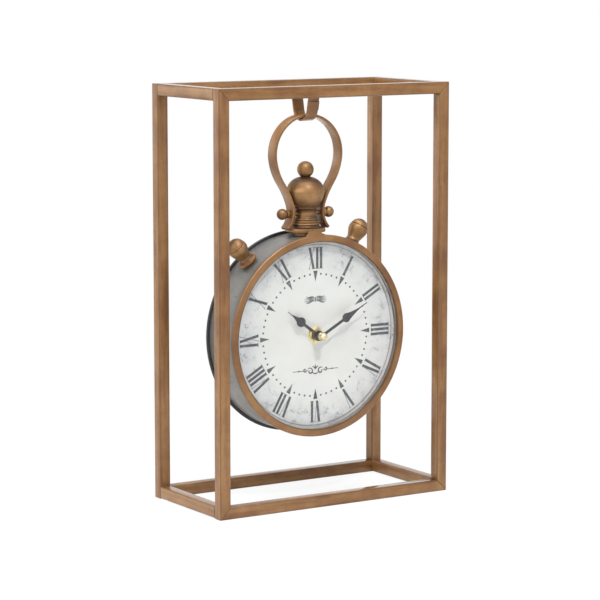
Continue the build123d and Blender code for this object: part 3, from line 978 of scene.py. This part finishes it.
def numeral(text):
    solid = []
    faint = []
    advance = {"I": 3.8, "V": 6.7, "X": 7.3}
    x = -sum(advance[c] for c in text) / 2
    lo = NUM_LOW
    hi = NUM_HIGH
    half = (hi + lo) / 2
    for c in text:
        w = advance[c]
        mid = x + w / 2
        if c == "I":
            solid.append(level(mid, lo, mid, hi, THICK))
            faint += [serif(mid - 1.85, mid + 1.85, lo, 1), serif(mid - 1.85, mid + 1.85, hi, -1)]
        elif c == "V":
            solid.append(level(mid - 1.75, hi, mid + 0.3, lo, THICK))
            faint.append(level(mid + 2.4, hi, mid + 0.7, lo + 1.0, THIN))
            faint += [serif(mid - 3.4, mid - 0.2, hi, -1), serif(mid + 1.4, mid + 3.3, hi, -1)]
        else:
            solid.append(level(mid - 1.95, hi, mid + 1.95, lo, THICK))
            faint.append(level(mid + 2.3, hi, mid + 0.35, half + 0.9, THIN))
            faint.append(level(mid - 0.35, half - 0.9, mid - 2.3, lo, THIN))
            faint += [serif(mid - 3.6, mid - 0.4, hi, -1), serif(mid + 1.4, mid + 3.2, hi, -1)]
            faint += [serif(mid - 3.2, mid - 1.4, lo, 1), serif(mid + 0.4, mid + 3.6, lo, 1)]
        x += w
    return solid, faint


def printed(name, shapes, material):
    bm = bmesh.new()
    for shape, turn, lift in shapes:
        place = Matrix.Translation((0, 0, ZC)) @ Matrix.Rotation(turn, 4, "Y")
        rings = []
        for y in (DIAL_Y - PRINT_T - lift, DIAL_Y + 0.02):
            rings.append([place @ Vector((x, y, z)) for x, z in shape])
        loft(bm, rings)
    return piece(name, bm, material, "case", ())


DOT_R = 0.9
DOT_FAR = 51.6
dot_turns = [math.tau * i / 12 for i in range(12)]
DOT = [(DOT_R * math.cos(a), DOT_FAR + DOT_R * math.sin(a)) for a in dot_turns]
TRIANGLE = [(-2.1, 54.3), (2.1, 54.3), (0.0, 45.2)]
NUMERALS = ["XII", "I", "II", "III", "IV", "V", "VI", "VII", "VIII", "IX", "X", "XI"]
thick_print = []
thin_print = []
for hour_mark, text in enumerate(NUMERALS):
    turn = math.radians(30 * hour_mark)
    solid, faint = numeral(text)
    thick_print += [(shape, turn, 0.01) for shape in solid]
    thin_print += [(shape, turn, 0.0) for shape in faint]
    thick_print.append((TRIANGLE, turn, 0.0))
    for minute_mark in range(1, 5):
        turn = math.radians(30 * hour_mark + 6 * minute_mark)
        thick_print.append((DOT, turn, 0.0))
printed("numerals", thick_print, INK)
printed("numeral_hairlines", thin_print, FAINT_INK)


# Generic ornament: a feathered crest above the hands and a scroll below them
def curl(cx, cz, r0, r1, a0, a1, w0, w1):
    points = []
    widths = []
    for i in range(23):
        t = i / 22
        a = math.radians(a0 + (a1 - a0) * t)
        r = r0 + (r1 - r0) * t
        points.append((cx + r * math.cos(a), cz + r * math.sin(a)))
        widths.append(w0 + (w1 - w0) * math.sin(math.pi * t))
    return stroke(points, widths)


CREST_Z = 30.2
CREST_HALF_W = 11.2
CREST_HALF_H = 3.1
FEATHER_TURNS = (-70, -42, -14, 14, 42, 70)


def crest():
    z = CREST_Z
    shapes = [[(0.0, z + 2.6), (0.7, z), (0.0, z - 2.6), (-0.7, z)]]
    for sign in (-1, 1):
        for degrees in FEATHER_TURNS:
            a = math.radians(degrees)
            tip = (CREST_HALF_W * math.cos(a * 0.5), CREST_HALF_H * math.sin(a))
            points = []
            widths = []
            for i in range(15):
                t = i / 14
                x = 0.5 + (tip[0] - 0.5) * t
                bend = 0.5 * math.sin(2 * math.pi * t)
                points.append((sign * x, z + tip[1] * (0.55 + 0.45 * t) + bend))
                widths.append(0.2 + 0.62 * math.sin(math.pi * t))
            shapes.append(stroke(points, widths))
        for k in range(3):
            x = sign * (1.6 + 1.5 * k)
            shapes.append(bar(x, z - 1.5, x + sign * 0.7, z + 1.5, 0.42))
    return shapes


SCROLL_Z = -29.7


def scroll():
    z = SCROLL_Z
    leaf = [(0.3, z + 0.9), (1.0, z + 2.3), (2.1, z + 3.1), (3.2, z + 2.9)]
    half = [
        bar(7.0, z, 22.5, z, 0.55),
        [(14.6, z), (16.4, z + 0.75), (18.2, z), (16.4, z - 0.75)],
        curl(5.2, z - 0.7, 3.0, 0.8, 50, 410, 0.6, 1.3),
        curl(10.2, z + 0.6, 1.9, 0.5, 200, 540, 0.45, 0.9),
        stroke(leaf, [0.3, 0.95, 0.8, 0.2]),
    ]
    shapes = [[(sign * x, y) for x, y in shape] for sign in (-1, 1) for shape in half]
    shapes.append(curl(0.0, z + 1.0, 4.0, 4.0, 222, 318, 0.5, 1.1))
    shapes.append([(-0.8, z + 2.4), (0.0, z + 5.2), (0.8, z + 2.4), (0.0, z + 0.4)])
    return shapes


printed("crest", [(shape, 0.0, 0.0) for shape in crest()], FAINT_INK)
printed("scroll", [(shape, 0.0, 0.0) for shape in scroll()], INK)

# Rear: movement, cell, knob and small steel parts
for node, paint in (("movement_case", PLASTIC), ("dial_retainer", RING), ("crown_nut", STEEL),
                    ("left_pusher_nut", STEEL), ("right_pusher_nut", STEEL),
                    ("contact_positive", STEEL), ("contact_negative", STEEL)):
    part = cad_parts[node]
    part.data.materials.clear()
    part.data.materials.append(paint)
    if node == "movement_case":
        soften = part.modifiers.new("soft edges", "BEVEL")
        soften.width = 0.3 * MM
        soften.segments = 2
        soften.limit_method = "ANGLE"
        soften.angle_limit = math.radians(50)

cell_box = span("battery")
cell_y = middle(cell_box[1])
cell_z = middle(cell_box[2])
cell_r = (cell_box[2][1] - cell_box[2][0]) / 2
x0, x1 = cell_box[0]
cell = [(0.0, x0), (4.6, x0), (4.7, x0 + 0.15), (5.6, x0 + 0.15)]
cell_side = [(5.6, x0 + 0.15), (cell_r, x0 + 0.15), (cell_r, x1 - 1.3), (4.2, x1 - 1.3)]
cell += softened(cell_side, 0.6, 4, closed=False)[1:]
cell += [(3.4, x1 - 1.25), (2.75, x1 - 1.1), (2.7, x1 - 0.2), (2.5, x1), (0.0, x1)]
cell_place = Matrix.Translation((0, cell_y, cell_z)) @ ALONG_X
turned("cell", cell, cell_place, WRAP, "case", ("battery",), 72)

KNOB_R = 5.95
KNOB_FLUTES = 24
SHAFT_R = 1.45
knob_box = span("set_knob")
knob_z = middle(knob_box[2])
knob_back = knob_box[1][1]


def knob():
    bm = bmesh.new()
    count = 144
    rings = []
    for ahead, shrink in ((4.0, 0.3), (3.7, 0.0), (0.3, 0.0), (0.0, 0.35)):
        ring = []
        for i in range(count):
            a = math.tau * i / count
            r = KNOB_R - shrink - 0.45 * (0.5 - 0.5 * math.cos(KNOB_FLUTES * a)) ** 2
            ring.append(Vector((r * math.cos(a), knob_back - ahead, knob_z + r * math.sin(a))))
        rings.append(ring)
    rim = rings[-1]
    for y, share in ((knob_back, 0.62), (knob_back - 0.5, 0.55)):
        rings.append([Vector((share * p.x, y, knob_z + share * (p.z - knob_z))) for p in rim])
    loft(bm, rings)
    loft(bm, [circle_at(SHAFT_R, knob_back - ahead, knob_z, 32) for ahead in (9.0, 3.8)])
    return piece("knob", bm, PLASTIC, "knob", ("set_knob",))


knob()


# Camera fitted to the photograph
cam_data = bpy.data.cameras.new("camera")
cam_data.sensor_width = 36.0
cam_data.lens = 151.5
cam_data.clip_end = 50.0
cam = bpy.data.objects.new("camera", cam_data)
bpy.context.scene.collection.objects.link(cam)
right = Vector((0.84501, -0.53476, 0.0))
up = Vector((0.07221, 0.11410, 0.99085))
back = right.cross(up)
rot = Matrix((right, up, back)).transposed().to_4x4()
cam.matrix_world = Matrix.Translation((-1.1311, -1.7849, 0.4546)) @ rot
bpy.context.scene.camera = cam


# Pale floor and world: white to the camera, and to mirrors except near the object on the floor.
# Everything else gets moderate light from them
def seen_directly(tree, outputs):
    path = tree.nodes.new("ShaderNodeLightPath")
    total = None
    for output in outputs:
        if total is None:
            total = path.outputs[output]
            continue
        both = tree.nodes.new("ShaderNodeMath")
        both.operation = "MAXIMUM"
        tree.links.new(total, both.inputs[0])
        tree.links.new(path.outputs[output], both.inputs[1])
        total = both.outputs[0]
    return total


def studio_world():
    world = bpy.data.worlds.new("world")
    bpy.context.scene.world = world
    world.use_nodes = True
    tree = world.node_tree
    soft = tree.nodes["Background"]
    soft.inputs[0].default_value = (0.93, 0.96, 1.0, 1)
    soft.inputs[1].default_value = 0.19
    white = tree.nodes.new("ShaderNodeBackground")
    white.inputs[0].default_value = (1, 1, 1, 1)
    white.inputs[1].default_value = 1.0
    mixed = tree.nodes.new("ShaderNodeMixShader")
    seen = seen_directly(tree, ("Is Camera Ray", "Is Glossy Ray", "Is Transmission Ray"))
    tree.links.new(seen, mixed.inputs[0])
    tree.links.new(soft.outputs[0], mixed.inputs[1])
    tree.links.new(white.outputs[0], mixed.inputs[2])
    tree.links.new(mixed.outputs[0], tree.nodes["World Output"].inputs[0])


def studio_floor():
    bm = bmesh.new()
    bmesh.ops.create_grid(bm, x_segments=1, y_segments=1, size=20.0)
    mesh = bpy.data.meshes.new("floor")
    bm.to_mesh(mesh)
    bm.free()
    mat = bpy.data.materials.new("floor_white")
    mat.use_nodes = True
    tree = mat.node_tree
    cloth = tree.nodes["Principled BSDF"]
    cloth.inputs["Base Color"].default_value = (0.93, 0.93, 0.93, 1)
    cloth.inputs["Roughness"].default_value = 0.9
    glow = tree.nodes.new("ShaderNodeEmission")
    glow.inputs[0].default_value = (1, 1, 1, 1)
    place = tree.nodes.new("ShaderNodeTexCoord")
    away = tree.nodes.new("ShaderNodeVectorMath")
    away.operation = "LENGTH"
    tree.links.new(place.outputs["Object"], away.inputs[0])
    share = tree.nodes.new("ShaderNodeMapRange")
    share.inputs["From Min"].default_value = 0.16
    share.inputs["From Max"].default_value = 0.5
    share.inputs["To Min"].default_value = 0.82
    share.inputs["To Max"].default_value = 1.0
    tree.links.new(away.outputs["Value"], share.inputs["Value"])
    part = tree.nodes.new("ShaderNodeMath")
    part.operation = "MULTIPLY"
    tree.links.new(share.outputs["Result"], part.inputs[1])
    tree.links.new(seen_directly(tree, ("Is Camera Ray", "Is Transmission Ray")), part.inputs[0])
    mirror_share = tree.nodes.new("ShaderNodeMapRange")
    mirror_share.inputs["From Min"].default_value = 0.25
    mirror_share.inputs["From Max"].default_value = 0.8
    tree.links.new(away.outputs["Value"], mirror_share.inputs["Value"])
    mirror = tree.nodes.new("ShaderNodeMath")
    mirror.operation = "MULTIPLY_ADD"
    tree.links.new(seen_directly(tree, ("Is Glossy Ray",)), mirror.inputs[0])
    tree.links.new(mirror_share.outputs["Result"], mirror.inputs[1])
    tree.links.new(part.outputs[0], mirror.inputs[2])
    mixed = tree.nodes.new("ShaderNodeMixShader")
    tree.links.new(mirror.outputs[0], mixed.inputs[0])
    tree.links.new(cloth.outputs[0], mixed.inputs[1])
    tree.links.new(glow.outputs[0], mixed.inputs[2])
    tree.links.new(mixed.outputs[0], tree.nodes["Material Output"].inputs[0])
    mesh.materials.append(mat)
    obj = bpy.data.objects.new("floor", mesh)
    bpy.context.scene.collection.objects.link(obj)


def lamp(name, place, aim, size, power, colour=(1, 1, 1)):
    data = bpy.data.lights.new(name, "AREA")
    data.shape = "RECTANGLE"
    data.size, data.size_y = size
    data.energy = power
    data.color = colour
    obj = bpy.data.objects.new(name, data)
    obj.location = place
    obj.visible_camera = False
    obj.rotation_euler = (Vector(aim) - Vector(place)).to_track_quat("-Z", "Y").to_euler()
    bpy.context.scene.collection.objects.link(obj)


studio_world()
studio_floor()
WARM = (1.0, 0.97, 0.9)
lamp("key", (-3.0, -0.9, 2.0), (0, 0, 0.18), (3.2, 2.8), 78, WARM)
lamp("front", (-0.3, -1.9, 2.6), (0, 0, 0.18), (0.22, 0.2), 37)
lamp("fill", (-0.2, -4.0, 0.9), (0, 0, 0.18), (2.4, 1.6), 5)
lamp("overhead", (-0.3, -0.2, 2.8), (0, 0, 0.2), (2.4, 2.4), 82)
lamp("left_back", (-2.0, 3.3, 0.5), (0, 0, 0.2), (1.9, 1.5), 14, WARM)
bpy.context.scene.view_settings.view_transform = "Standard"
